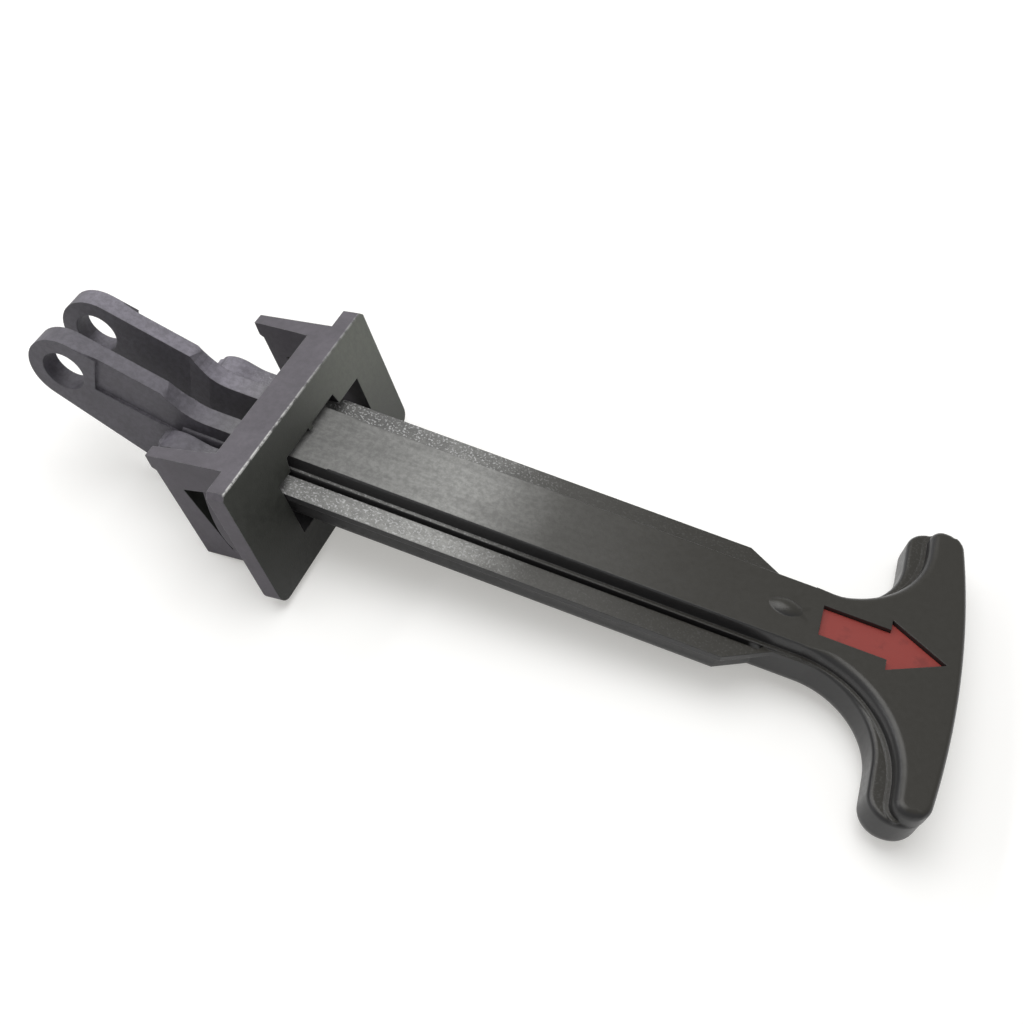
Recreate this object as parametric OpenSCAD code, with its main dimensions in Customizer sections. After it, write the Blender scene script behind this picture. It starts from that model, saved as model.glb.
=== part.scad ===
// Pull handle of a hood release: a one-piece moulded handle with a T grip, a ledged bar and a
// clevis fork, a red arrow inlay, and the panel guide that the bar slides through.
// Origin at the centre of the clevis bore, +X along the bar towards the grip, +Y across,
// +Z towards the face with the arrow. Millimetres.

/* [Clevis fork] */
// Radius of the bore through both ears
bore_r = 4; // [3:0.1:4.6]
// Outer radius of each ear
ear_r = 6.8; // [6:0.1:8]
// Clear width between the ears
fork_gap = 7.2; // [6.4:0.1:7.6]
// Outer width over both ears
fork_w = 14.9; // [13.8:0.1:16]
// Angle at which the arms' upper edge falls towards the bar
arm_top_fall = 13; // [11:0.5:14]
// Angle at which the arms' lower edge falls towards the bar
arm_low_fall = 22.5; // [18:0.5:24]
// X where the arms start to step in to the width of the bar's rib
arm_step_x = 18.5; // [16:0.5:20]
// Length of that step
arm_step_l = 4.2; // [3:0.2:5]
// Lowest level of the arms below the bore's centre
arm_depth = 14; // [12.5:0.1:15]
// Distance from the bore's centre to the recess in each arm's outer face
arm_recess_x = 6.8; // [5.6:0.2:9]
// Height of that recess below the arm's upper edge
arm_recess_h = 7; // [5:0.2:8]
// Depth of that recess
arm_recess_d = 0.6; // [0.3:0.1:1]

/* [Bar] */
// Width of the raised rib that carries the arrow
rib_w = 13.6; // [12.8:0.1:14.2]
// Level of the rib's top face below the bore's centre
rib_drop = 1.02; // [0.6:0.02:1.4]
// Bevel along the rib's upper edges
rib_bevel = 0.3; // [0.1:0.05:0.6]
// Height of the rib's side wall above its foot
rib_wall = 2.7; // [2:0.1:2.8]
// Width that the foot stands out at each side
rib_foot = 0.7; // [0.3:0.1:1]
// Clear width of the groove between the foot and the ledge
groove_w = 1; // [0.6:0.1:1.4]
// Depth of the groove below the ledge
groove_d = 2; // [1:0.1:2.4]
// Outer width over both ledges
ledge_w = 25.5; // [24.5:0.1:26.5]
// Level of the ledges below the rib's top face
ledge_drop = 2.92; // [2.8:0.02:3.3]
// Thickness of the ledges
ledge_t = 1.25; // [0.9:0.05:1.6]
// Distance by which the body under the ledges stands back
body_inset = 1.4; // [0.8:0.1:2]
// Depth of the bar from the rib's top face to the underside
bar_depth = 10; // [9.6:0.1:10.2]
// Radius of the lower corners of the bar
body_corner = 2.5; // [1.5:0.1:3]
// X where the ledges and the body begin at the fork end
ledge_start_x = 20.4; // [19:0.2:21.4]
// X where the ledges start to taper towards the neck
ledge_end_x = 124.1; // [120:0.5:126]
// Length of that taper
ledge_taper = 8; // [6:0.5:9]
// Height of the stop bump on the ledges above their level
bump_h = 1; // [0.6:0.1:1.2]
// Length of the bump's slope on the grip side
bump_l = 5.5; // [4:0.5:6]
// X where the gap between the arms ends inside the bar
gap_end_x = 44; // [40:0.5:46]

/* [Underside] */
// Number of core pockets in the underside
pocket_count = 5; // [3:1:6]
// X where the first pocket starts
pocket_x = 50; // [48:1:54]
// Length of one pocket
pocket_l = 11.5; // [9:0.5:11.5]
// Thickness of the rib between two pockets
pocket_rib = 2; // [1.5:0.1:2.4]
// Width of the pockets
pocket_w = 15; // [12:0.5:16]
// Wall left above the pockets
pocket_top = 5.6; // [5.2:0.2:6.5]

/* [Grip] */
// X of the grip's outer face at the middle
grip_end_x = 163.4; // [161:0.2:166]
// Radius of the grip's curved outer face
grip_face_r = 187; // [150:1:240]
// X of the centres of the finger curves in the grip's upper part
finger_x = 136.45; // [135:0.1:138]
// Radius of the finger curves in the upper part
finger_r = 18.55; // [17.5:0.05:18.8]
// Half length of the upper part
grip_half = 29.8; // [29:0.1:31]
// Radius of the wing corners in the upper part
wing_corner = 2.4; // [1.8:0.1:2.6]
// Radius along the upper edges of the grip
upper_edge = 1.5; // [0.8:0.1:1.8]
// Width of the neck in the lower part
neck_w = 15.8; // [15.2:0.1:16.4]
// X of the centres of the finger curves in the lower part
low_finger_x = 137.6; // [136.5:0.1:138.4]
// Radius of the finger curves in the lower part
low_finger_r = 14; // [13:0.1:14.6]
// Half length of the lower part
low_grip_half = 31.5; // [30.5:0.1:32.5]
// Radius of the wing corners in the lower part
low_wing_corner = 4; // [3:0.1:4.4]
// Radius along the lower edges of the grip
low_edge = 2.5; // [1.5:0.1:2.8]
// Radius along the step between the two parts
step_edge = 0.8; // [0.4:0.1:1]
// X of the centre of the raised pip
pip_x = 132; // [130:0.2:134]
// Length of the pip
pip_l = 6; // [5:0.1:7]
// Width of the pip
pip_w = 3.8; // [3:0.1:4.4]
// Height of the pip
pip_h = 0.8; // [0.4:0.1:1.2]

/* [Arrow] */
// X of the arrow's tail
arrow_tail_x = 138.3; // [137:0.1:141]
// Length of the arrow's shaft
arrow_shaft_l = 12; // [10:0.1:13]
// Length of the arrow's head
arrow_head_l = 10.2; // [8:0.1:10.4]
// Width of the arrow's shaft
arrow_shaft_w = 6.6; // [5:0.1:7.4]
// Width of the arrow's head
arrow_head_w = 11; // [9:0.1:12]
// Depth of the arrow's recess
arrow_recess = 1.3; // [1:0.1:1.8]
// Thickness of the inlay on the recess floor
inlay_t = 0.5; // [0.3:0.1:0.8]
// Gap between the inlay and the recess wall
inlay_gap = 0.1; // [0.05:0.05:0.2]

/* [Guide position] */
// X of the upper front edge of the guide on the bar
guide_x = 40.8; // [40:0.2:46]
// Height of that edge above the bore's centre
guide_z = 6.15; // [6:0.05:6.3]
// Angle by which the guide's rear end hangs down on the bar
guide_tilt = 16.6; // [16:0.1:17]
// Angle by which the guide is turned about the vertical
guide_yaw = -3.5; // [-4:0.1:0]
// Angle by which the guide is rolled about the bar
guide_roll = 1.8; // [0:0.1:2]

/* [Guide] */
// Width of the flange
flange_w = 50.7; // [48:0.1:54]
// Height of the flange along its face
flange_h = 25.7; // [25:0.1:28]
// Thickness of the flange
flange_t = 3.3; // [2.5:0.1:3.6]
// Angle by which the flange leans on the guide's own square
flange_lean = 10.2; // [9:0.1:11]
// Radius of the flange's lower corners
flange_corner = 2.2; // [1:0.1:3]
// Cut at the flange's upper corners
flange_cut = 0.9; // [0.4:0.1:1.5]
// Thickness of the rim behind the flange
rim_t = 3.3; // [2.5:0.1:3.5]
// Outer width over the guide's side walls
box_w = 39.5; // [38.8:0.1:42]
// Height of the side walls
box_h = 22.6; // [22:0.1:24]
// Length of the side walls behind the flange's front edge
box_l = 18.6; // [17:0.1:22]
// Thickness of the side walls at the rear
wall_t = 2.2; // [1.8:0.1:2.6]
// Further thickness of the side walls at the rim
wall_taper = 2; // [0.5:0.1:2.4]
// Height of the lip at the walls' rear upper corners
lip_h = 2.7; // [2:0.1:4]
// Distance by which that lip stands out
lip_d = 0.8; // [0.4:0.1:1.2]
// Clearance of the slot beside the rib
rib_side_gap = 1.8; // [1.2:0.1:2.2]
// Clearance of the slot beside the ledges
ledge_side_gap = 3.65; // [2.8:0.05:3.9]
// Depth of the slot's middle top below the guide's upper edge
slot_top = 6.2; // [6:0.05:6.3]
// Further depth of the slot's top over the ledges
slot_step = 2.5; // [2.3:0.1:2.6]
// Depth of the slot's floor below the guide's upper edge
slot_floor = 19.5; // [19.4:0.05:19.8]
// Extra width and height of the slot through the rim, at each side
rim_relief = 1; // [0.9:0.05:1.2]
// Width of the small tooth at the middle of the slot's top
tooth_w = 1.2; // [0.8:0.1:2]
// Height of that tooth
tooth_h = 0.9; // [0.5:0.1:1]
// Depth of the windows' upper edge below the guide's upper edge
window_z = 6.2; // [5:0.1:7]
// Height of the windows
window_h = 13.6; // [12:0.1:14]
// Width of the windows at their upper edge
window_w = 5.6; // [4.5:0.1:6]
// Width of the windows at their lower edge
window_low_w = 2.6; // [2.6:0.1:4]
// Distance from the rim to the windows
window_x = 2.2; // [1.8:0.1:3]
// Width of the bowed spring leaf in each window
leaf_w = 1.7; // [1.2:0.1:1.9]
// Thickness of that leaf
leaf_t = 0.8; // [0.6:0.1:1.1]
// Distance by which the leaf bows out of the wall
leaf_bow = 1.4; // [0.8:0.1:2]

/* [Hidden] */
// Overlap of the solids that a cut passes through
eps = 0.5;
// Number of straight pieces in a quarter turn of a computed curve
quarter = 8;

rib_z = -rib_drop;
foot_z = rib_z - rib_wall;
ledge_z = rib_z - ledge_drop;
floor_z = rib_z - bar_depth;
foot_half = rib_w / 2 + rib_foot;
groove_out = foot_half + groove_w;
groove_z = ledge_z - groove_d;
ledge_half = ledge_w / 2;
body_half = ledge_half - body_inset;
neck_half = neck_w / 2;
taper_slope = (ledge_half - neck_half) / ledge_taper;
arrow_head_x = arrow_tail_x + arrow_shaft_l;
arrow_tip_x = arrow_head_x + arrow_head_l;
neck_x = ledge_end_x + ledge_taper;
bump_x = ledge_start_x + bump_h + ledge_t + 1.4;

// Flat shape in Y and Z, drawn from x0 along +X
module along_x(x0, length) {
    translate([x0, 0, 0]) rotate([90, 0, 90]) linear_extrude(length) children();
}

// Flat shape in X and Z, drawn across Y with its middle at y
module across_y(width, y = 0) {
    translate([0, y + width / 2, 0]) rotate([90, 0, 0]) linear_extrude(width) children();
}

// Flat shape in X and Y, drawn from z0 up to z1
module upright(z0, z1) {
    translate([0, 0, z0]) linear_extrude(z1 - z0) children();
}

// Half of a plan outline of the bar with the given half width, tapered at the neck
function tapered_half(half, end_half, end_x) = let (inset = ledge_half - half) [
    [ledge_start_x, 0],
    [ledge_start_x, half - 1.2],
    [ledge_start_x + 1.2, half],
    [ledge_end_x - inset * taper_slope / 2, half],
    [ledge_end_x - inset * taper_slope / 2 + (half - end_half) / taper_slope, end_half],
    [end_x, end_half],
    [end_x, 0]];

module both_halves(pts) {
    polygon(pts);
    mirror([0, 1]) polygon(pts);
}

// Raised rib with its foot
module bar_rib() {
    w = rib_w / 2;
    along_x(arm_step_x + arm_step_l - 1, finger_x - arm_step_x - arm_step_l + 1)
        polygon([
            [-foot_half, groove_z - 1], [foot_half, groove_z - 1], [foot_half, foot_z - 0.1], [w, foot_z],
            [w, rib_z - rib_bevel], [w - rib_bevel, rib_z], [rib_bevel - w, rib_z],
            [-w, rib_z - rib_bevel], [-w, foot_z], [-foot_half, foot_z - 0.1]]);
}

// Body of the bar under the ledges, with rounded lower corners
module bar_body() {
    r = body_corner;
    intersection() {
        upright(floor_z - 1, ledge_z)
            both_halves(tapered_half(body_half, neck_half, low_finger_x));
        along_x(ledge_start_x - 1, low_finger_x + 4 - ledge_start_x)
            union() {
                translate([-body_half, floor_z + r]) square([2 * body_half, bar_depth]);
                translate([r - body_half, floor_z]) square([2 * (body_half - r), bar_depth]);
                for (s = [-1, 1]) translate([s * (body_half - r), floor_z + r]) circle(r, $fn = 48);
            }
        neck_rounding();
    }
}

// Section that rounds the lower edges of the neck: the body narrowed towards the grip
module neck_rounding() {
    r = body_corner;
    along_x(ledge_end_x, low_finger_x + 4 - ledge_end_x)
        union() {
            translate([-neck_half, floor_z + r]) square([2 * neck_half, bar_depth]);
            translate([r - neck_half, floor_z]) square([2 * (neck_half - r), bar_depth]);
            for (s = [-1, 1]) translate([s * (neck_half - r), floor_z + r]) circle(r, $fn = 48);
        }
    along_x(ledge_start_x - 1, ledge_end_x - ledge_start_x + 1 + ledge_taper * 0.8)
        translate([-ledge_half, floor_z - 1]) square([ledge_w, bar_depth + 2]);
}

// Thin ledge plates with the stop bump near the fork
module ledges() {
    upright(ledge_z - ledge_t, ledge_z) both_halves(tapered_half(ledge_half, neck_half, low_finger_x));
    for (s = [-1, 1])
        across_y(ledge_half - groove_out, s * (ledge_half + groove_out) / 2) bump_profile();
}

// Side view of the stop bump: a round nose at the fork end and a long slope to the ledge
module bump_profile() {
    nose = bump_x - ledge_start_x;
    polygon(concat(
        [for (i = [0:quarter]) let (a = 180 - 90 * i / quarter)
            [bump_x + nose * cos(a), ledge_z - ledge_t + (bump_h + ledge_t) * sin(a)]],
        [for (i = [1:quarter]) let (t = i / quarter)
            [bump_x + bump_l * t, ledge_z + bump_h * (1 + cos(180 * t)) / 2 - 0.001]],
        [[bump_x + bump_l, ledge_z - ledge_t]]));
}

// Side view of the fork's arms
module arm_profile() {
    a = 90 - arm_top_fall;
    b = 270 - arm_low_fall;
    top = ear_r * [cos(a), sin(a)];
    low = ear_r * [cos(b), sin(b)];
    low_x = low[0] + (arm_depth + low[1]) / tan(arm_low_fall);
    step_z = top[1] - (arm_step_x - top[0]) * tan(arm_top_fall);
    ramp_l = arm_step_l * 2;
    circle(ear_r, $fn = 96);
    polygon(concat(
        [[0, 0], top],
        [for (i = [0:quarter]) let (t = i / quarter)
            [arm_step_x + ramp_l * t, rib_z + (step_z - rib_z) * (1 - t) * (1 - t)]],
        [[gap_end_x + 6, rib_z], [gap_end_x + 6, floor_z], [gap_end_x - 12, floor_z],
            [low_x + 6, -arm_depth], [low_x, -arm_depth], low]));
}

// Plan view of the fork's arms: they step in from the ears to the rib
module arm_plan(half, rib_half) {
    polygon([
        [-ear_r - eps, -half], [arm_step_x, -half], [arm_step_x + arm_step_l, -rib_half],
        [gap_end_x + 8, -rib_half], [gap_end_x + 8, rib_half],
        [arm_step_x + arm_step_l, rib_half], [arm_step_x, half], [-ear_r - eps, half]]);
}

module fork_arms() {
    intersection() {
        across_y(fork_w + 2) arm_profile();
        upright(-arm_depth - 1, ear_r + 1) arm_plan(fork_w / 2, rib_w / 2);
    }
}

// Gap between the arms, open through the bar, with a round end
module fork_slot() {
    half = fork_gap / 2;
    step = (fork_w - rib_w) / 2;
    upright(-arm_depth - 2, ear_r + 2) {
        polygon([
            [-ear_r - 2, -half], [arm_step_x, -half], [arm_step_x + arm_step_l, step - half],
            [gap_end_x, step - half], [gap_end_x, half - step],
            [arm_step_x + arm_step_l, half - step], [arm_step_x, half], [-ear_r - 2, half]]);
        translate([gap_end_x, 0]) circle(half - step, $fn = 48);
    }
}

// Shallow recess in the upper part of each arm's outer face
module arm_recesses() {
    a = 90 - arm_top_fall;
    top = ear_r * [cos(a), sin(a)];
    fall = tan(arm_top_fall);
    z0 = top[1] - (arm_recess_x - top[0]) * fall;
    l = arm_step_x + arm_step_l - arm_recess_x;
    for (s = [-1, 1])
        across_y(2 * arm_recess_d, s * fork_w / 2)
            polygon([
                [arm_recess_x, z0 + 2], [arm_recess_x - 0.8, z0 - arm_recess_h],
                [arm_recess_x + l, z0 - arm_recess_h - l * fall], [arm_recess_x + l, z0 + 2]]);
}

// Side view of a round edge: everything from 0 to r, with the corners at r rounded
module edge_profile(r, z0, z1, low_r, top_r) {
    translate([0, z0 + low_r]) square([r, z1 - z0 - low_r - top_r]);
    translate([0, z0]) square([r - low_r, z1 - z0 - top_r]);
    translate([0, z0 + low_r]) square([r - top_r, z1 - z0 - low_r]);
    if (low_r > 0) translate([r - low_r, z0 + low_r]) circle(low_r, $fn = 64);
    if (top_r > 0) translate([r - top_r, z1 - top_r]) circle(top_r, $fn = 64);
}

// What a rounded edge takes off beyond r: up is 1 for an upper edge and -1 for a lower one
module flare_profile(r, z, edge, up) {
    difference() {
        translate([r - 1, up > 0 ? z - edge : z - 1]) square([edge + 1, edge + 1]);
        translate([r + edge, z - up * edge]) circle(edge, $fn = 64);
    }
}

// Rounding of the edge along a finger curve and along the wing beyond it.
// A fade above 0 moves it outwards at the neck, where the edge stays sharp.
module finger_flare(fx, fy, r, z, edge, up, fade) {
    translate([fx, fy + fade, 0]) {
        rotate_extrude($fn = 128) flare_profile(r, z, edge, up);
        rotate([90, 0, 0]) translate([0, 0, -grip_half]) linear_extrude(grip_half) flare_profile(r, z, edge, up);
    }
}

// Plan of the wings, with round corners at their ends
module wing_plan(in_x, half_l, corner) {
    cy = half_l - corner;
    face_x = grip_end_x - grip_face_r;
    out_x = face_x + sqrt(pow(grip_face_r - corner, 2) - cy * cy);
    translate([finger_x - 20, -cy]) square([60, 2 * cy]);
    translate([in_x + corner, -half_l]) square([out_x - in_x - corner, 2 * half_l]);
    for (x = [in_x + corner, out_x], y = [-cy, cy]) translate([x, y]) circle(corner, $fn = 64);
}

// One part of the T grip, between the levels z0 and z1, from the neck outwards
module grip_part(z0, z1, half_w, fx, fr, half_l, corner, low_r, top_r, face_top_r) {
    fy = half_w + fr;
    difference() {
        intersection() {
            translate([grip_end_x - grip_face_r, 0, 0])
                rotate_extrude($fn = 360) edge_profile(grip_face_r, z0, z1, low_r, face_top_r);
            along_x(fx, grip_end_x - fx + 1) {
                edge_profile(half_l, z0, z1, low_r, top_r);
                mirror([1, 0]) edge_profile(half_l, z0, z1, low_r, top_r);
            }
            upright(z0 - 1, z1 + 1) wing_plan(fx + fr, half_l, corner);
        }
        for (s = [0, 1]) mirror([0, s, 0]) {
            translate([fx, fy, z0 - 1]) cylinder(z1 - z0 + 2, r = fr, $fn = 128);
            translate([fx - 1, fy, z0 - 1]) cube([fr + 1, half_l, z1 - z0 + 2]);
            if (low_r > 0) finger_flare(fx, fy, fr, z0, low_r, -1, 0);
            finger_flare(fx, fy, fr, z1, top_r, 1, top_r);
        }
    }
}

// T grip: a lower part with round edges and, above a step, a narrower upper part
module grip() {
    grip_part(ledge_z, rib_z, rib_w / 2, finger_x, finger_r, grip_half, wing_corner, 0, upper_edge, upper_edge);
    grip_part(floor_z, ledge_z, neck_half, low_finger_x, low_finger_r, low_grip_half, low_wing_corner,
        low_edge, step_edge, 0);
}

// Small raised oval on the neck
module pip() {
    long_r = (pip_l * pip_l / 4 + pip_h * pip_h) / (2 * pip_h);
    cross_r = (pip_w * pip_w / 4 + pip_h * pip_h) / (2 * pip_h);
    translate([pip_x, 0, rib_z + pip_h - cross_r])
        rotate([0, 90, 0])
            rotate_extrude($fn = 64)
                intersection() {
                    translate([cross_r - long_r, 0]) circle(long_r, $fn = 96);
                    translate([0, -pip_l]) square([cross_r + 1, 2 * pip_l]);
                }
}

// Arrow outline, moved inwards by gap
module arrow_shape(gap) {
    h = arrow_head_w / 2;
    slope = atan(h / arrow_head_l);
    tip = arrow_tip_x - gap / sin(slope);
    base = arrow_head_x + gap;
    w = (tip - base) * tan(slope);
    s = arrow_shaft_w / 2 - gap;
    polygon([
        [arrow_tail_x + gap, -s], [base, -s], [base, -w], [tip, 0],
        [base, w], [base, s], [arrow_tail_x + gap, s]]);
}

// Core pockets in the underside, with ribs between them
module pockets() {
    for (i = [0:pocket_count - 1])
        translate([pocket_x + i * (pocket_l + pocket_rib), -pocket_w / 2, floor_z - 1])
            cube([pocket_l, pocket_w, bar_depth - pocket_top + 1]);
}

module handle() {
    color("#1b1b1d")
        difference() {
            union() {
                bar_rib();
                bar_body();
                ledges();
                fork_arms();
                grip();
                pip();
            }
            for (s = [-1, 1])
                upright(groove_z, rib_z + eps)
                    polygon([
                        [ledge_start_x - 1, s * foot_half], [neck_x - 1.6, s * foot_half],
                        [neck_x - 1.6 - groove_w, s * groove_out], [ledge_start_x - 1, s * groove_out]]);
            fork_slot();
            across_y(fork_w + 2) circle(bore_r, $fn = 96);
            arm_recesses();
            upright(rib_z - arrow_recess, rib_z + 1) arrow_shape(0);
            pockets();
        }
}

module arrow_inlay() {
    color("#9c3a36")
        upright(rib_z - arrow_recess, rib_z - arrow_recess + inlay_t) arrow_shape(inlay_gap);
}

// The guide's own frame has its origin at the upper front edge, +X forward along the slot.
// Shift along X of a plane that leans with the flange, at depth z below the upper edge
function lean(z) = z * tan(flange_lean);

// Side view of a plate of the guide between x0 and x0 - t, leaning with the flange
module leaning(x0, t, h) {
    polygon([[x0, 0], [x0 - t, 0], [x0 - t + lean(h), -h], [x0 + lean(h), -h]]);
}

module flange() {
    h = flange_h * cos(flange_lean);
    w = flange_w / 2;
    r = flange_corner;
    c = flange_cut;
    intersection() {
        across_y(flange_w) leaning(0, flange_t, h);
        along_x(-flange_t - 1, flange_t + lean(h) + 2)
            union() {
                polygon([
                    [-w, r - h], [w, r - h], [w, -c], [w - c, 0], [c - w, 0], [-w, -c]]);
                translate([r - w, -h]) square([flange_w - 2 * r, h / 2]);
                for (s = [-1, 1]) translate([s * (w - r), r - h]) circle(r, $fn = 48);
            }
    }
}

// Hat-shaped slot that the bar passes, larger by grow all round
module slot_shape(grow) {
    mid = rib_w / 2 + rib_side_gap + grow;
    side = ledge_half + ledge_side_gap + min(grow, wall_t / 4);
    top = grow - slot_top;
    shelf = grow - slot_top - slot_step;
    bottom = -slot_floor - min(grow, 0.4);
    polygon([
        [-mid, top], [mid, top], [mid + 0.7, shelf], [side, shelf], [side, bottom + 1.2],
        [side - 1.2, bottom], [1.2 - side, bottom], [-side, bottom + 1.2], [-side, shelf], [-mid - 0.7, shelf]]);
}

// Side walls and rim: a box open at the top, the bottom and the rear
module guide_box() {
    rear = -box_l;
    fall = lean(box_h) * 0.92;
    rim_x = -flange_t - rim_t;
    half = box_w / 2;
    difference() {
        across_y(box_w)
            polygon([
                [-flange_t + 0.2, 0], [rear, 0], [rear + lip_d * 0.4, -lip_h], [rear + lip_d * 1.4, -lip_h - 0.5],
                [rear + lip_d * 1.4 + fall, -box_h], [-flange_t + 0.2 + lean(box_h), -box_h - 0.6]]);
        intersection() {
            across_y(box_w)
                polygon([
                    [rear - 2, 1], [rim_x + lean(-1), 1], [rim_x + lean(box_h + 3), -box_h - 3],
                    [rear - 2, -box_h - 3]]);
            upright(-box_h - 3, 1)
                polygon([
                    [rear - 2, wall_t - half], [rim_x - 3, wall_t + wall_taper * 0.5 - half],
                    [rim_x + lean(box_h), wall_t + wall_taper - half],
                    [rim_x + lean(box_h), half - wall_t - wall_taper],
                    [rim_x - 3, half - wall_t - wall_taper * 0.5], [rear - 2, half - wall_t]]);
        }
    }
}

// Openings in the side walls for the spring leaves
module windows() {
    x = -flange_t - rim_t - window_x;
    across_y(box_w + 8)
        polygon([
            [x + lean(window_z), -window_z], [x + lean(window_z) - window_w, -window_z - 0.6],
            [x + lean(window_z + window_h) - window_low_w, -window_z - window_h - 0.6],
            [x + lean(window_z + window_h), -window_z - window_h]]);
}

// One bowed leaf, held by the wall above and below its window
module leaf() {
    x = -flange_t - rim_t - window_x;
    half = box_w / 2;
    z0 = window_z - 1.2;
    l = window_h + 2.4;
    n = 2 * quarter;
    rotate([0, -flange_lean, 0])
        along_x(x - leaf_w - 0.5 + 0.15 * window_low_w, leaf_w)
            polygon(concat(
                [for (i = [0:n]) let (t = i / n) [half - 0.4 + leaf_bow * sin(180 * t), -z0 - l * t]],
                [for (i = [n:-1:0]) let (t = i / n) [half - 0.4 - leaf_t + leaf_bow * sin(180 * t), -z0 - l * t]]));
}

module guide_part() {
    difference() {
        union() {
            flange();
            guide_box();
        }
        along_x(-flange_t - 0.01, flange_t * 6) slot_shape(0);
        along_x(-flange_t - rim_t - 6, rim_t + 6) slot_shape(rim_relief);
        windows();
    }
    leaf();
    mirror([0, 1, 0]) leaf();
    intersection() {
        across_y(tooth_w) leaning(0, flange_t * 0.4, flange_h);
        upright(-slot_top - tooth_h, -slot_top + 1) square([4 * flange_t, tooth_w], center = true);
    }
}

module guide() {
    color("#28262a")
        translate([guide_x, 0, guide_z])
            rotate([guide_roll, -guide_tilt, guide_yaw])
                guide_part();
}

handle();
arrow_inlay();
guide();
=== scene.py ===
import math

import bmesh
import bpy
import numpy as np
from mathutils import Euler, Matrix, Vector


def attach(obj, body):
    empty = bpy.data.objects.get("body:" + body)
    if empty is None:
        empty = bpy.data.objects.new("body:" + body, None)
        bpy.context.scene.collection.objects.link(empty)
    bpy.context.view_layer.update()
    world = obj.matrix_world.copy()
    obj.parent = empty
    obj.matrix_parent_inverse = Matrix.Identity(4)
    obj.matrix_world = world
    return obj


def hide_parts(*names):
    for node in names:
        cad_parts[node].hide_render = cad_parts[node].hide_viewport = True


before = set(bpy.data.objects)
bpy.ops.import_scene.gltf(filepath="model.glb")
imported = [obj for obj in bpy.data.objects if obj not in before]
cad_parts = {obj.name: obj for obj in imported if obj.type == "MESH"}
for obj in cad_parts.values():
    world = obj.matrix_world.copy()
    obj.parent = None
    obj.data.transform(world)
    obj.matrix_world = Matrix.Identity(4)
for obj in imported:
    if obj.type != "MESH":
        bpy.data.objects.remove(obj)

MM = 0.001

# Camera, in the part's frame
CAMERA_PLACE = (0.10212746, -0.14213035, 0.16477145)
CAMERA_TURN_DEG = (39.7509, -9.1553, 18.8028)
CAMERA_LENS = 44.245
CAMERA_SENSOR = 36.0
CAMERA_CLIP = (0.01, 20.0)

# Light: a thin strip behind the fork and a large soft light above, in metres and watts
WORLD_LEVEL = 0.42
LIGHT_AIM = (0.08, 0.0, 0.0)
STRIP_PLACE = (-0.62, 0.12, 0.50)
STRIP_LONG = 1.1
STRIP_WIDE = 0.045
STRIP_POWER = 1.8
TOP_PLACE = (-0.14, 0.16, 0.82)
TOP_SIDE = 0.8
TOP_POWER = 5.0

# Floor, with a glow that grows to plain white between the near and the far distance
FLOOR_SIDE = 6.0
FLOOR_ALBEDO = 0.72
FLOOR_BOUNCE = 0.6
FLOOR_TINT = (1.0, 0.985, 0.94, 1.0)
FLOOR_GLOW = 0.36
FLOOR_NEAR = 0.22
FLOOR_FAR = 0.6
FLOOR_GAP = 0.02 * MM

# Levels and half widths of the bar and the grip, as in the part, in millimetres
RIB_Z = -1.02
LEDGE_Z = -3.94
FLOOR_Z = -11.02
RIB_HALF = 6.8
NECK_HALF = 7.9
BODY_HALF = 11.35
BODY_CORNER = 2.5
BODY_TAPER = ((118.0, BODY_HALF), (123.68, BODY_HALF), (129.37, NECK_HALF), (137.0, NECK_HALF))
GRIP_START = 136.45
GRIP_FACE_R = 187.0
GRIP_FACE_X = 163.4
ARROW = ((138.3, 3.3), (150.3, 3.3), (150.3, 5.5), (160.5, 0.0))
ARROW_DEPTH = 1.3

# Plan of the grip's lower and upper level: half width at the neck, start and radius of
# the finger curve, half length, and radii of the inner and outer corner of a wing's end
LOW_PLAN = (NECK_HALF, 137.6, 14.0, 31.5, 4.4, 5.0)
TOP_PLAN = (RIB_HALF, GRIP_START, 18.55, 30.9, 2.4, 3.6)
TOP_SINK = 0.4
FOOT_WIDE = 0.7
FOOT_HIGH = 0.12
FOOT_SLOPE = 0.1
FOOT_FADE_X = GRIP_START + 20
CURVE_STEPS = 32
CORNER_STEPS = 12
FACE_STEPS = 24
ROUND_STEPS = 8
CORNER_LEAD = 0.01

# End of the gap between the arms, and what fills the rest of it
GAP_END = 38.0
GAP_HALF = 2.95
GAP_FILL_END = 48.0
GAP_FILL_HALF = 4.0
GAP_STEPS = 16

# Reach of the cutting and filling bodies past the faces that they meet
CUT_REACH = 0.8
FILL_LAP = 0.4
BOX_REACH = 40
BOX_PAST = 5
RECESS_PAST = 2
EDGE_STEPS = 10

# Place of the guide on the bar, as in the part
GUIDE_PLACE = (40.8, 0.0, 6.15)
GUIDE_TURN_DEG = (1.8, -16.6, -3.5)
FLANGE_LEAN_DEG = 10.2
FLANGE_THICK = 3.3
SLOT_SIDE = 16.4
SLOT_SHELF = 8.7
SLOT_FLOOR = 19.5
LEDGE_SIDE = 13.1

# Tolerances and the start of the grip's resting points, in metres
SKIN_WELD = 1e-7
CAD_WELD = 1e-6
SAME_PLANE = 2e-6
GRIP_FROM = 0.14

# Sharp edges start at these angles between faces
HANDLE_SHARP_DEG = 14
GUIDE_SHARP_DEG = 12

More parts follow.
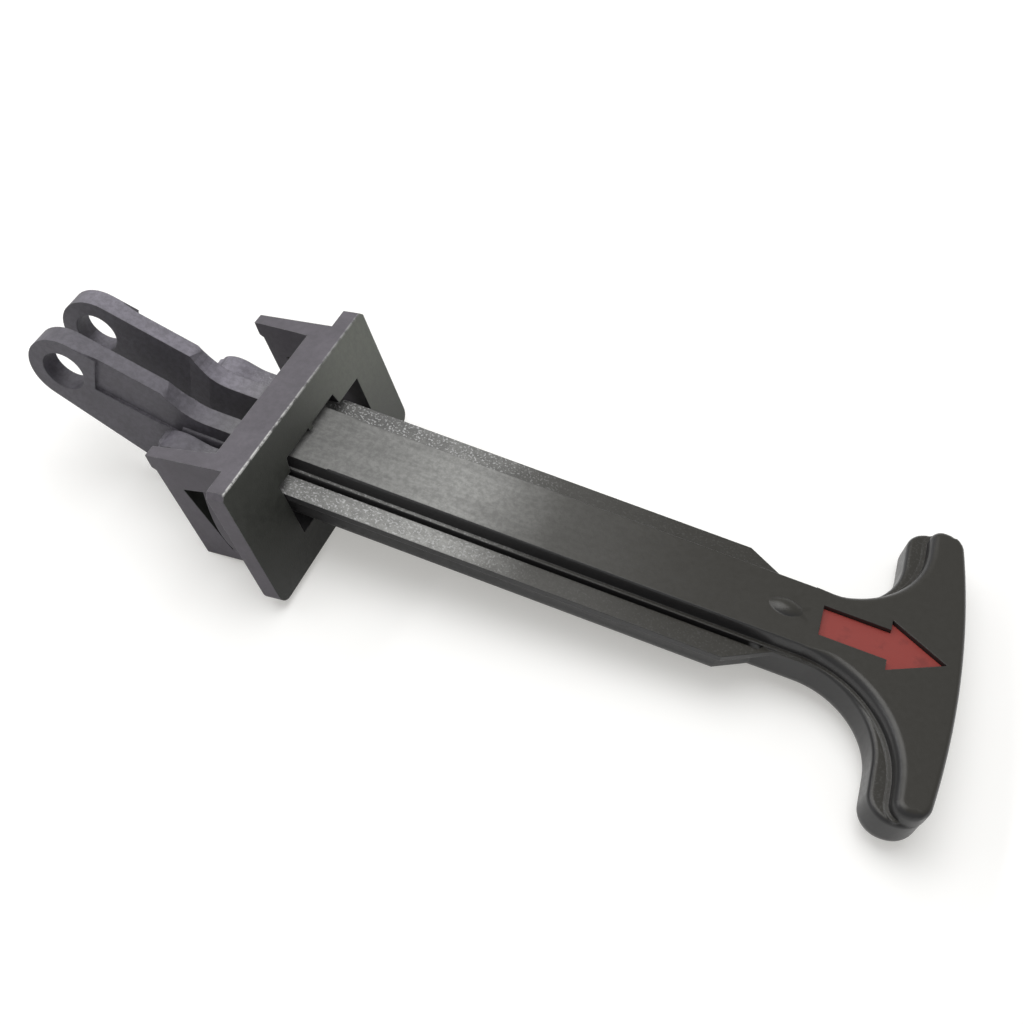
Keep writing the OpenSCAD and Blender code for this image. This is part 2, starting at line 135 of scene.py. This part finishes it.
# Colours as the shaders take them, in linear light
FORK_GREY = (0.098, 0.092, 0.108, 1.0)
BAR_WORN = (0.165, 0.165, 0.158, 1.0)
BLACK = (0.029, 0.027, 0.022, 1.0)
# painted shade: a darker black for the faces that look sideways, which get less light than the
# tops
SIDE_SHADE_BLACK = (0.024, 0.0235, 0.024, 1.0)
EDGE_GREY = (0.16, 0.16, 0.165, 1.0)
SPECK = (0.5, 0.5, 0.5, 1.0)
GUIDE_GREY = (0.104, 0.095, 0.110, 1.0)
# painted shade: the flange's front, which faces away from the light
FRONT_SHADE = (0.023, 0.0245, 0.0205, 1.0)
GUIDE_EDGE = (0.22, 0.22, 0.22, 1.0)
# painted shade inside the slot
SLOT_SHADE = (0.022, 0.021, 0.023, 1.0)
WORN_LINE = (0.62, 0.62, 0.6, 1.0)
RED = (0.262, 0.036, 0.028, 1.0)
RED_DARK = (0.150, 0.020, 0.017, 1.0)
WHITE = (1.0, 1.0, 1.0, 1.0)

# Heights of the handle's masks, in millimetres: between ledge and rib, and down to a ledge
LEDGE_TO_RIB = (-3.2, -2.2)
ON_LEDGE = (-3.3, -3.6)

# Stretches of the bar along x, in millimetres, over which its look changes
WEAR_ENDS = (75, 98)
TRACE_ENDS = (84, 126)
# painted highlight: the worn grey grows paler along this stretch, towards a glare near its end
GLARE_STARTS = (50, 76)
SPECKS_START = (92, 66)
FORK_STARTS = (42, 24)
RUB_STARTS = (128, 60)
SHINE_STARTS = (70, 112)
SMOOTH_STARTS = (80, 120)
LEDGE_WEAR_SHIFT = 3
CLOUD_WEAR_SHIFT = 9

# Stretches of the guide's masks, in millimetres: heights, places across, and depths. Those of
# the front place painted light and painted shade, those of the slot painted shade.
FRONT_HEIGHT = (-16, 4)
FRONT_ACROSS = (-6, 18)
RUB_HEIGHT = (-8, 2)
LINE_ACROSS = (12, -14)
LINE_DEPTH = (0.42, 0.12)
SLOT_DEPTH = (5.4, 5.9)
SLOT_MARGIN = 0.3
SLOT_BLUR = 0.2

GUIDE_TURN = Euler([math.radians(a) for a in GUIDE_TURN_DEG]).to_matrix()
LEAN = math.radians(FLANGE_LEAN_DEG)
FLANGE_FRONT = GUIDE_TURN @ Vector((math.cos(LEAN), 0, math.sin(LEAN)))
GUIDE_TOP = GUIDE_TURN @ Vector((0, 0, 1))


class Shader:
    """One node material, with short names for the nodes that it uses."""

    def __init__(self, name):
        self.material = bpy.data.materials.new(name)
        self.material.use_nodes = True
        self.tree = self.material.node_tree
        self.tree.nodes.clear()
        coord = self.add("ShaderNodeTexCoord")
        self.place = coord.outputs["Object"]
        self.x, self.y, self.z = self.split(self.place)
        self.normal = coord.outputs["Normal"]
        self.up = self.split(self.normal)[2]

    def add(self, kind, inputs=(), **settings):
        node = self.tree.nodes.new(kind)
        for key, value in settings.items():
            setattr(node, key, value)
        for key, value in dict(inputs).items():
            self.put(node.inputs[key], value)
        return node

    def put(self, socket, value):
        if isinstance(value, bpy.types.NodeSocket):
            self.tree.links.new(value, socket)
        else:
            socket.default_value = value

    def split(self, vector):
        return self.add("ShaderNodeSeparateXYZ", {0: vector}).outputs

    def calc(self, operation, a, b=0.0, clamp=False):
        node = self.add("ShaderNodeMath", {0: a, 1: b}, operation=operation)
        node.use_clamp = clamp
        return node.outputs[0]

    def product(self, first, *others):
        for other in others:
            first = self.calc("MULTIPLY", first, other)
        return first

    def step(self, value, low, high, a=0.0, b=1.0):
        """Goes smoothly from a to b while value goes from low to high."""
        if low > high:
            low, high, a, b = high, low, b, a
        node = self.add(
            "ShaderNodeMapRange",
            {0: value, 1: low, 2: high, 3: a, 4: b},
            interpolation_type="SMOOTHSTEP",
        )
        return node.outputs[0]

    def step_mm(self, value, low, high, a=0.0, b=1.0):
        """The same with low and high in millimetres."""
        return self.step(value, low * MM, high * MM, a, b)

    def noise(self, size, detail=4.0, rough=0.55, stretch=(1, 1, 1), shift=(0, 0, 0)):
        """Cloudy values around 0.5, with features of the given size in millimetres."""
        where = self.add(
            "ShaderNodeMapping",
            {"Vector": self.place, "Scale": stretch, "Location": shift},
        ).outputs[0]
        scale = 1 / (size * MM)
        node = self.add(
            "ShaderNodeTexNoise",
            {"Vector": where, "Scale": scale, "Detail": detail, "Roughness": rough},
        )
        return node.outputs[0]

    def mix(self, share, a, b):
        node = self.add("ShaderNodeMix", {0: share, 6: a, 7: b}, data_type="RGBA")
        return node.outputs[2]

    def blend(self, share, a, b):
        node = self.add("ShaderNodeMix", {0: share, 2: a, 3: b}, data_type="FLOAT")
        return node.outputs[0]

    def scale(self, colour, factor):
        node = self.add("ShaderNodeVectorMath", {0: colour[:3]}, operation="SCALE")
        self.put(node.inputs["Scale"], factor)
        return node.outputs[0]

    def dot(self, a, b):
        node = self.add("ShaderNodeVectorMath", {0: a, 1: b}, operation="DOT_PRODUCT")
        return node.outputs["Value"]

    def facing(self, way):
        """Cosine between the face and a direction in the part's frame."""
        return self.dot(self.normal, way)

    def depth(self, way, point):
        """How far a place lies behind the plane through point that looks along way."""
        return self.calc("SUBTRACT", way.dot(point), self.dot(self.place, way))

    def edge(self, radius):
        """Normal that is rounded at the edges, and a mask of these edges."""
        soft = self.add("ShaderNodeBevel", {"Radius": radius * MM}, samples=6).outputs[0]
        true = self.add("ShaderNodeNewGeometry").outputs["Normal"]
        return soft, self.step(self.dot(soft, true), 0.995, 0.86)

    def bump(self, height, strength, distance, normal):
        node = self.add(
            "ShaderNodeBump",
            {
                "Height": height,
                "Strength": strength,
                "Distance": distance * MM,
                "Normal": normal,
            },
        )
        return node.outputs[0]

    def finish(self, colour, rough, normal):
        surface = self.add(
            "ShaderNodeBsdfPrincipled",
            {"Base Color": colour, "Roughness": rough, "Normal": normal, "IOR": 1.5},
        )
        self.add("ShaderNodeOutputMaterial", {"Surface": surface.outputs[0]})
        return self.material


def handle_plastic():
    """Black satin plastic, worn grey near the guide and matte at the fork, with painted shade
    on the side faces, painted light on the fork's upward faces, and a painted highlight in the
    bar's wear.
    """
    s = Shader("black_plastic")
    soft, edges = s.edge(0.28)
    up = s.step(s.up, 0.72, 0.95)
    cloud = s.noise(6, 3.0)
    mottle = s.noise(1.1, 6.0, 0.7)
    grain = s.noise(0.28, 3.0, 0.6)
    streak = s.noise(1.6, 4.0, 0.6, stretch=(0.12, 1, 1))

    # Wear of the upper faces along the bar, which fades sooner on the ledges
    sooner = s.step_mm(s.z, *LEDGE_TO_RIB, LEDGE_WEAR_SHIFT * MM, 0.0)
    uneven = s.product(cloud, CLOUD_WEAR_SHIFT * MM)
    along = s.calc("ADD", s.calc("ADD", s.x, sooner), uneven)
    near = s.step_mm(along, *WEAR_ENDS, 1.0, 0.0)
    far = s.step_mm(along, *TRACE_ENDS, 1.0, 0.0)
    worn = s.calc("ADD", s.product(near, 0.86), s.product(far, 0.14))
    worn = s.product(worn, up)

    # Grey of the worn faces: spots, lines along the bar, and unlike ledges; it grows paler
    # along the bar, partly as a painted highlight
    spots = s.step(mottle, 0.36, 0.64, 0.80, 1.16)
    lines = s.step(streak, 0.35, 0.65, 0.92, 1.08)
    ledge = s.step_mm(s.y, -4, 4, 1.2, 0.75)
    level = s.product(
        spots,
        lines,
        s.step_mm(s.x, *GLARE_STARTS, 1.0, 1.6),
        s.blend(s.step_mm(s.z, *LEDGE_TO_RIB), ledge, 1.0),
    )
    # side faces take the darker black as painted shade
    bar = s.mix(worn, s.mix(up, SIDE_SHADE_BLACK, BLACK), s.scale(BAR_WORN, level))

    # Bright specks on the ledges
    dots = s.noise(0.42, 2.0, 0.5, shift=(0.3, 0.1, 0.2))
    speck = s.product(
        s.step(dots, 0.54, 0.66),
        s.product(s.step_mm(s.z, *ON_LEDGE), up),
        s.step_mm(s.x, *SPECKS_START, 0.04, 0.85),
    )
    bar = s.mix(speck, bar, SPECK)

    # Matte grey fork, with painted light: its upward faces lighter, the far arm's most
    lit_tops = s.step_mm(s.y, -2, 3, 1.15, 1.9)
    level = s.product(s.step(cloud, 0.3, 0.7, 0.9, 1.1), spots, s.blend(up, 1.0, lit_tops))
    colour = s.mix(s.step_mm(s.x, *FORK_STARTS), bar, s.scale(FORK_GREY, level))

    # Edges rubbed to a lighter grey where the bar slides
    rub = s.product(
        edges,
        s.step(mottle, 0.38, 0.6, 0.15, 0.8),
        s.step_mm(s.x, *RUB_STARTS, 0.12, 0.75),
    )
    colour = s.mix(rub, colour, EDGE_GREY)

    shine = s.step_mm(s.x, *SHINE_STARTS, 0.56, 0.34)
    rough = s.calc("ADD", shine, s.step(mottle, 0.3, 0.7, -0.05, 0.05), clamp=True)
    skin = s.step_mm(s.x, *SMOOTH_STARTS, 0.55, 0.12)
    return s.finish(colour, rough, s.bump(grain, skin, 0.05, soft))


def guide_plastic():
    """Matte dark plastic, purple grey on the guide's body, with painted shade on its front and
    on the walls inside its slot.
    """
    s = Shader("guide_plastic")
    soft, edges = s.edge(0.25)
    cloud = s.noise(7, 3.0)
    mottle = s.noise(1.3, 5.0, 0.65)
    grain = s.noise(0.3, 3.0, 0.6)
    corner = Vector(GUIDE_PLACE) * MM
    behind = s.depth(FLANGE_FRONT, corner)
    below = s.depth(GUIDE_TOP, corner)
    spots = s.step(mottle, 0.34, 0.66, 0.88, 1.12)
    body = s.scale(GUIDE_GREY, s.product(spots, s.step(cloud, 0.3, 0.7, 0.9, 1.1)))

    # Painted shade on the front of the flange, which faces away from the light, with painted
    # light towards its upper far corner
    front = s.step(s.facing(FLANGE_FRONT), 0.93, 0.985)
    front_light = s.product(
        s.step_mm(s.z, *FRONT_HEIGHT, 0.6, 1.5), s.step_mm(s.y, *FRONT_ACROSS, 1.0, 3.6)
    )
    colour = s.mix(front, body, s.scale(FRONT_SHADE, s.product(front_light, spots)))

    # Painted shade on the walls inside the slot
    middle = s.calc("SUBTRACT", (SLOT_SIDE + SLOT_MARGIN) * MM, s.calc("ABSOLUTE", s.y))
    slot_shade = s.product(
        s.step_mm(middle, 0.0, SLOT_BLUR),
        s.step_mm(below, *SLOT_DEPTH),
        s.step(front, 0.9, 0.5),
    )
    colour = s.mix(slot_shade, colour, SLOT_SHADE)

    # Rubbed edges, more so near the top
    rub = s.product(
        edges,
        s.step(mottle, 0.36, 0.6, 0.25, 0.95),
        s.step_mm(s.z, *RUB_HEIGHT, 0.3, 1.0),
    )
    colour = s.mix(rub, colour, GUIDE_EDGE)

    # Bright worn line along the flange's upper front edge
    line = s.product(
        s.step_mm(behind, *LINE_DEPTH),
        s.step_mm(below, *LINE_DEPTH),
        s.step(mottle, 0.36, 0.56, 0.1, 1.0),
        s.step_mm(s.y, *LINE_ACROSS, 0.3, 1.0),
    )
    colour = s.mix(line, colour, WORN_LINE)

    matte = s.step(front, 0.0, 1.0, 0.6, 0.46)
    rough = s.calc("ADD", matte, s.step(mottle, 0.3, 0.7, -0.06, 0.06), clamp=True)
    return s.finish(colour, rough, s.bump(grain, 0.45, 0.05, soft))


def red_plastic():
    """Dull red inlay, slightly uneven, with dark blots of dirt and painted shade at its rim."""
    s = Shader("red_plastic")
    soft, edges = s.edge(0.2)
    cloud = s.noise(3, 4.0)
    grain = s.noise(0.25, 3.0, 0.6)
    blots = s.step(cloud, 0.52, 0.72, 0.0, 0.55)
    # dark blots are dirt; the darker rim is painted shade from the walls of the recess
    dirt_and_rim_shade = s.calc("MAXIMUM", blots, s.product(edges, 0.6))
    rough = s.step(cloud, 0.3, 0.7, 0.42, 0.56)
    return s.finish(s.mix(dirt_and_rim_shade, RED, RED_DARK), rough, s.bump(grain, 0.3, 0.04, soft))


def floor_material():
    """Pale floor with its shadow, which a glow lifts to white for the camera."""
    s = Shader("pale_floor")
    away = s.add("ShaderNodeVectorMath", {0: s.place}, operation="LENGTH")
    level = s.step(away.outputs["Value"], FLOOR_NEAR, FLOOR_FAR, FLOOR_GLOW, 1.0)
    glow = s.add("ShaderNodeEmission", {"Color": FLOOR_TINT, "Strength": level})
    seen, plain = [
        s.add("ShaderNodeBsdfDiffuse", {"Color": (grey, grey, grey, 1.0)})
        for grey in (FLOOR_ALBEDO, FLOOR_BOUNCE)
    ]
    both = s.add("ShaderNodeAddShader", {0: seen.outputs[0], 1: glow.outputs[0]})

    # 1 for what the camera sees, by itself or mirrored in the part, and 0 for light
    ray = s.add("ShaderNodeLightPath").outputs
    direct = s.calc("MAXIMUM", ray["Is Camera Ray"], ray["Is Glossy Ray"])
    pick = s.add(
        "ShaderNodeMixShader", {0: direct, 1: plain.outputs[0], 2: both.outputs[0]}
    )
    s.add("ShaderNodeOutputMaterial", {"Surface": pick.outputs[0]})
    return s.material


def white_for_camera(tree, light_level):
    """World that the camera sees as white and that lights at its own level."""
    nodes, links = tree.nodes, tree.links
    nodes.clear()
    pick = nodes.new("ShaderNodeMixShader")
    for socket, level in ((1, light_level), (2, 1.0)):
        back = nodes.new("ShaderNodeBackground")
        back.inputs["Color"].default_value = WHITE
        back.inputs["Strength"].default_value = level
        links.new(back.outputs[0], pick.inputs[socket])
    ray = nodes.new("ShaderNodeLightPath").outputs
    out = nodes.new("ShaderNodeOutputWorld")
    links.new(ray["Is Camera Ray"], pick.inputs[0])
    links.new(pick.outputs[0], out.inputs["Surface"])


def vertices(name):
    """Vertices of a CAD node, in metres."""
    return np.array([v.co[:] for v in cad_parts[name].data.vertices], float)


def resting_plane():
    """Point and normal of the plane under the guide's lower corners and the grip."""
    guide, handle = vertices("guide"), vertices("handle")
    near, far = guide[guide[:, 1] < 0], guide[guide[:, 1] > 0]
    corner = near[near[:, 2].argmin()]
    across = far[far[:, 2].argmin()] - corner
    grip = handle[handle[:, 0] > GRIP_FROM]
    normals = np.cross(grip - corner, across)
    normals *= np.sign(normals[:, 2:3])
    normals /= np.linalg.norm(normals, axis=1, keepdims=True)
    lowest = [((grip - corner) @ n).min() for n in normals]
    return Vector(corner), Vector(normals[int(np.argmax(lowest))])


def ramp(x, x0, x1, a, b):
    """Goes smoothly from a to b while x goes from x0 to x1."""
    t = min(1.0, max(0.0, (x - x0) / (x1 - x0)))
    t = t * t * (3 - 2 * t)
    return a + (b - a) * t


def spread(start, end, count):
    """Evenly spaced values from start to end, with both."""
    return [start + (end - start) * i / count for i in range(count + 1)]


def arc(cx, cy, r, angles_deg, side=1):
    """Points of an arc, each with the way out there. The side is -1 for a hollow arc."""
    rows = []
    for angle in angles_deg:
        u, v = math.cos(math.radians(angle)), math.sin(math.radians(angle))
        rows.append((cx + r * u, cy + r * v, side * u, side * v))
    return rows


def closed_mesh(name, rings):
    """Skin over rings of as many points each, with both ends closed, from millimetres."""
    count = len(rings[0])
    corners = [tuple(c * MM for c in p) for ring in rings for p in ring]
    faces = [tuple(range(count))[::-1]]
    for k in range(len(rings) - 1):
        for i in range(count):
            j = (i + 1) % count
            a, b = k * count, (k + 1) * count
            faces.append((a + i, a + j, b + j, b + i))
    faces.append(tuple(range(len(corners) - count, len(corners))))
    mesh = bpy.data.meshes.new(name)
    mesh.from_pydata(corners, [], faces)
    work = bmesh.new()
    work.from_mesh(mesh)
    bmesh.ops.remove_doubles(work, verts=work.verts, dist=SKIN_WELD)
    bmesh.ops.recalc_face_normals(work, faces=work.faces)
    work.to_mesh(mesh)
    work.free()
    return placed(name, mesh)


def placed(name, data):
    """New object in the scene."""
    piece = bpy.data.objects.new(name, data)
    bpy.context.scene.collection.objects.link(piece)
    return piece


def prism(name, plan, z0, z1):
    """Straight body over a plan, from one height to the other."""
    return closed_mesh(name, [[(x, y, z) for x, y in plan] for z in (z0, z1)])


def copied(name, node):
    """Copy of a CAD node's mesh, closed."""
    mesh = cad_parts[node].data.copy()
    work = bmesh.new()
    work.from_mesh(mesh)
    bmesh.ops.remove_doubles(work, verts=work.verts, dist=CAD_WELD)
    work.to_mesh(mesh)
    work.free()
    return placed(name, mesh)


def combine(piece, other, operation):
    """Cuts other out of piece, or adds it, and deletes other."""
    change = piece.modifiers.new(operation, "BOOLEAN")
    change.operation = operation
    change.solver = "EXACT"
    change.object = other
    graph = bpy.context.evaluated_depsgraph_get()
    mesh = bpy.data.meshes.new_from_object(piece.evaluated_get(graph))
    piece.modifiers.clear()
    piece.data = mesh
    bpy.data.objects.remove(other)


def drop_cap(piece, x):
    """Deletes the faces that lie in the plane at x."""
    work = bmesh.new()
    work.from_mesh(piece.data)
    flat = [f for f in work.faces if all(abs(v.co.x - x * MM) < SAME_PLANE for v in f.verts)]
    bmesh.ops.delete(work, geom=flat, context="FACES")
    work.to_mesh(piece.data)
    work.free()


def join(piece, others):
    """Adds the meshes of others to piece and deletes others."""
    work = bmesh.new()
    work.from_mesh(piece.data)
    for other in others:
        work.from_mesh(other.data)
        bpy.data.objects.remove(other)
    work.to_mesh(piece.data)
    work.free()


def smooth(piece, sharp_deg):
    """Smooth shading up to an angle, with the large flat faces kept flat."""
    piece.data.shade_smooth()
    piece.data.set_sharp_from_angle(angle=math.radians(sharp_deg))
    change = piece.modifiers.new("normals", "WEIGHTED_NORMAL")
    change.mode = "FACE_AREA"
    change.weight = 100
    change.keep_sharp = True


def wing_outline(neck_half, curve_x, curve_r, half_length, inner_r, outer_r):
    """Plan of the grip round both wings. Each row holds x, y and the way out in x and y."""
    inner_x = curve_x + curve_r
    inner_y = half_length - inner_r
    face_x = GRIP_FACE_X - GRIP_FACE_R
    reach = GRIP_FACE_R - outer_r
    outer_y = half_length - outer_r
    outer_x = face_x + math.sqrt(reach * reach - outer_y * outer_y)
    turn = math.degrees(math.asin(outer_y / reach))

    far = [(GRIP_START, neck_half, 0.0, 1.0)]
    fingers = spread(-90, 0, CURVE_STEPS)[1:]
    far += arc(curve_x, neck_half + curve_r, curve_r, fingers, side=-1)
    far.append((inner_x, inner_y - CORNER_LEAD, -1.0, 0.0))
    far += arc(inner_x + inner_r, inner_y, inner_r, spread(180, 90, CORNER_STEPS))
    far += arc(outer_x, outer_y, outer_r, spread(90, turn, CORNER_STEPS))
    far += arc(face_x, 0.0, GRIP_FACE_R, spread(turn, 0, FACE_STEPS)[1:])
    near = [(x, -y, u, -v) for x, y, u, v in reversed(far[:-1])]
    return far + near


def low_edge_radius(x, u):
    """Radius of the lower edge of the grip at x, where the way out in x is u. Neither x nor u
    is used: the radius is the same everywhere.
    """
    return BODY_CORNER


def step_edge_radius(x, u):
    """The same for the edge of the step between the levels."""
    return ramp(x, 137, 148, 0.05, 0.9)


def top_edge_radius(x, u):
    """The same for the top edge, smaller at the outer face."""
    return ramp(x, GRIP_START, 142, 0.3, 1.6) if u < 0.5 else 1.1


def round_rings(outline, z, radius, side):
    """Rings of a round edge at height z. The side is -1 for a lower edge, 1 for an upper."""
    rings = []
    for angle in spread(0, 90, ROUND_STEPS):
        a = math.radians(angle if side > 0 else 90 - angle)
        ring = []
        for x, y, u, v in outline:
            r = radius(x, u)
            inset = r * (1 - math.cos(a))
            ring.append((x - u * inset, y - v * inset, z - side * r * (1 - math.sin(a))))
        rings.append(ring)
    return rings


def foot_rings(outline):
    """Rings of a small foot round the upper level, which fades at the outer face."""
    rings = []
    high = LEDGE_Z + FOOT_HIGH
    levels = ((LEDGE_Z - TOP_SINK, FOOT_WIDE), (high, FOOT_WIDE), (high + FOOT_SLOPE, 0.0))
    for z, out in levels:
        ring = []
        for x, y, u, v in outline:
            wide = out * ramp(u, -0.5, 0.0, 1.0, 0.0) if x > FOOT_FADE_X else out
            ring.append((x + u * wide, y + v * wide, z))
        rings.append(ring)
    return rings


def lower_edge_cutter(side):
    """What rounding takes off the lower edge of the body along its taper to the neck."""
    r = BODY_CORNER
    section = [(CUT_REACH, -CUT_REACH), (CUT_REACH, r), (0.0, r)]
    section += [(x, y) for x, y, u, v in arc(-r, r, r, spread(0, -90, EDGE_STEPS)[1:])]
    section += [(-r, -CUT_REACH)]
    rings = []
    for k, (x, y) in enumerate(BODY_TAPER):
        before = BODY_TAPER[max(k - 1, 0)]
        after = BODY_TAPER[min(k + 1, len(BODY_TAPER) - 1)]
        way = Vector((before[1] - after[1], after[0] - before[0])).normalized()
        rings.append([(x + way.x * u, side * (y + way.y * u), FLOOR_Z + w) for u, w in section])
    return closed_mesh("edge_cutter", rings)


def gap_filler():
    """Body that ends the gap between the arms with a round end."""
    plan = [(GAP_FILL_END, -GAP_FILL_HALF), (GAP_FILL_END, GAP_FILL_HALF)]
    plan.append((GAP_END, GAP_FILL_HALF))
    plan += [(x, y) for x, y, u, v in arc(GAP_END, 0, GAP_HALF, spread(90, -90, GAP_STEPS))]
    plan.append((GAP_END, -GAP_FILL_HALF))
    return prism("gap_end", plan, FLOOR_Z, RIB_Z)


def build_grip():
    """Lower and upper level of the grip, open at the neck, with the arrow's recess."""
    low, top = wing_outline(*LOW_PLAN), wing_outline(*TOP_PLAN)
    low_edge = round_rings(low, FLOOR_Z, low_edge_radius, -1)
    step_edge = round_rings(low, LEDGE_Z, step_edge_radius, 1)
    top_edge = round_rings(top, RIB_Z, top_edge_radius, 1)
    low_level = closed_mesh("grip_low", low_edge + step_edge)
    top_level = closed_mesh("grip_top", foot_rings(top) + top_edge)
    arrow = list(ARROW) + [(x, -y) for x, y in reversed(ARROW[:3])]
    recess = prism("arrow_cutter", arrow, RIB_Z - ARROW_DEPTH, RIB_Z + RECESS_PAST)
    combine(top_level, recess, "DIFFERENCE")
    for level in (low_level, top_level):
        drop_cap(level, GRIP_START)
    return [low_level, top_level]


def build_handle():
    """The CAD handle with the gap's end under the guide and a smooth grip."""
    body = copied("handle_dressed", "handle")
    box = [(GRIP_START, -BOX_REACH), (GRIP_START + BOX_REACH, -BOX_REACH)]
    box += [(x, -y) for x, y in reversed(box)]
    combine(body, prism("grip_cutter", box, FLOOR_Z - BOX_PAST, RIB_Z + BOX_PAST), "DIFFERENCE")
    for side in (-1, 1):
        combine(body, lower_edge_cutter(side), "DIFFERENCE")
    combine(body, gap_filler(), "UNION")
    drop_cap(body, GRIP_START)
    join(body, build_grip())
    return body


def in_part(x, y, z):
    """Point of the guide's own frame in the part's frame, in millimetres."""
    return GUIDE_TURN @ Vector((x, y, z)) + Vector(GUIDE_PLACE)


def side_filler():
    """Part of the flange beside the near ledge."""
    rings = []
    for depth in (SLOT_SHELF - FILL_LAP, SLOT_FLOOR + FILL_LAP):
        front = depth * math.tan(LEAN)
        ring = []
        for x in (front - FLANGE_THICK, front):
            across = -LEDGE_SIDE - GUIDE_TURN[1][0] * x + GUIDE_TURN[1][2] * depth
            for y in (-SLOT_SIDE - FILL_LAP, across / GUIDE_TURN[1][1]):
                ring.append(in_part(x, y, -depth))
        rings.append([ring[0], ring[1], ring[3], ring[2]])
    return closed_mesh("side_filler", rings)


def build_guide():
    """The CAD guide with its slot closed beside the near ledge."""
    body = copied("guide_dressed", "guide")
    combine(body, side_filler(), "UNION")
    return body


def dress():
    """Gives each CAD node its material, and the handle and guide their finer copies."""
    looks = [
        ("handle", build_handle, HANDLE_SHARP_DEG, "black_plastic", handle_plastic),
        ("arrow_inlay", None, 0, "red_plastic", red_plastic),
        ("guide", build_guide, GUIDE_SHARP_DEG, "guide_plastic", guide_plastic),
    ]
    for node, build, sharp_deg, slot, make in looks:
        material = make()
        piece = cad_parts[node]
        piece.data.materials.clear()
        piece.data.materials.append(material)
        if build:
            piece = build()
            piece.data.materials.clear()
            piece.data.materials.append(material)
            smooth(piece, sharp_deg)
            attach(piece, node)
            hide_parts(node)


def add_floor():
    place, normal = resting_plane()
    bpy.ops.mesh.primitive_plane_add(size=FLOOR_SIDE)
    floor = bpy.context.object
    floor.name = "floor"
    floor.rotation_euler = normal.to_track_quat("Z", "Y").to_euler()
    floor.location = place - normal * FLOOR_GAP
    floor.data.materials.append(floor_material())


def area_light(name, place, size, size_y, power):
    data = bpy.data.lights.new(name, "AREA")
    data.shape = "RECTANGLE"
    data.size, data.size_y = size, size_y
    data.energy = power
    light = placed(name, data)
    light.location = place
    aim = Vector(LIGHT_AIM) - Vector(place)
    light.rotation_euler = aim.to_track_quat("-Z", "X").to_euler()


def add_lights():
    world = bpy.data.worlds.new("studio")
    world.use_nodes = True
    bpy.context.scene.world = world
    white_for_camera(world.node_tree, WORLD_LEVEL)
    area_light("strip", STRIP_PLACE, STRIP_WIDE, STRIP_LONG, STRIP_POWER)
    area_light("top", TOP_PLACE, TOP_SIDE, TOP_SIDE, TOP_POWER)


def add_camera():
    data = bpy.data.cameras.new("photo_camera")
    data.lens = CAMERA_LENS
    data.sensor_width = CAMERA_SENSOR
    data.clip_start, data.clip_end = CAMERA_CLIP
    camera = placed("photo_camera", data)
    camera.location = CAMERA_PLACE
    camera.rotation_euler = Euler([math.radians(a) for a in CAMERA_TURN_DEG])
    bpy.context.scene.camera = camera


bpy.context.scene.view_settings.view_transform = "Standard"
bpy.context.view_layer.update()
dress()
add_floor()
add_lights()
add_camera()
